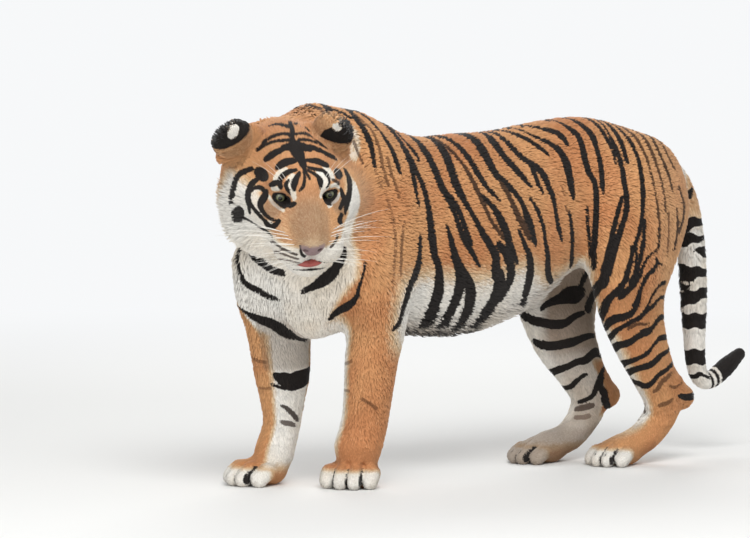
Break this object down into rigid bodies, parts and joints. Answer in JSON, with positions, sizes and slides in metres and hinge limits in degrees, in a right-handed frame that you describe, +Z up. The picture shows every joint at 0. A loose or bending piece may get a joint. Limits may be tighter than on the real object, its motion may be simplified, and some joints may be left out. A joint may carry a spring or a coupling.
{
  "type": "standing tiger",
  "caption": "Life-size Sumatran tiger standing with its head lowered and turned to its left, a still museum-type model.",
  "frame": {"origin": "centre of the bounding box on the ground plane, under the middle of the beast", "axes": "+Z up, -Y the way the body faces, +X the tiger's left side"},
  "size_m": [0.4172, 1.4692, 0.7858],
  "materials": {
    "coat": "short orange fur with black stripes",
    "pale_coat": "white to cream fur with black bands",
    "dark_coat": "black fur",
    "eye": "wet gloss",
    "tongue": "moist satin"
  },
  "bodies": {
    "root": {"head": "coat", "tail_tip": "dark_coat", "tail_mid": "pale_coat", "tail_base": "coat", "forepaw_left": "coat", "forearm_left": "coat", "foreleg_left": "coat", "forepaw_right": "coat", "forearm_right": "coat", "foreleg_right": "coat", "hindpaw_left": "pale_coat", "shank_left": "coat", "hindleg_left": "coat", "hindpaw_right": "pale_coat", "shank_right": "coat", "hindleg_right": "coat", "neck": "coat", "trunk": "coat", "ear_left": "dark_coat", "ear_right": "dark_coat", "eye_left": "eye", "eye_right": "eye", "tongue": "tongue"}
  },
  "joints": []
}
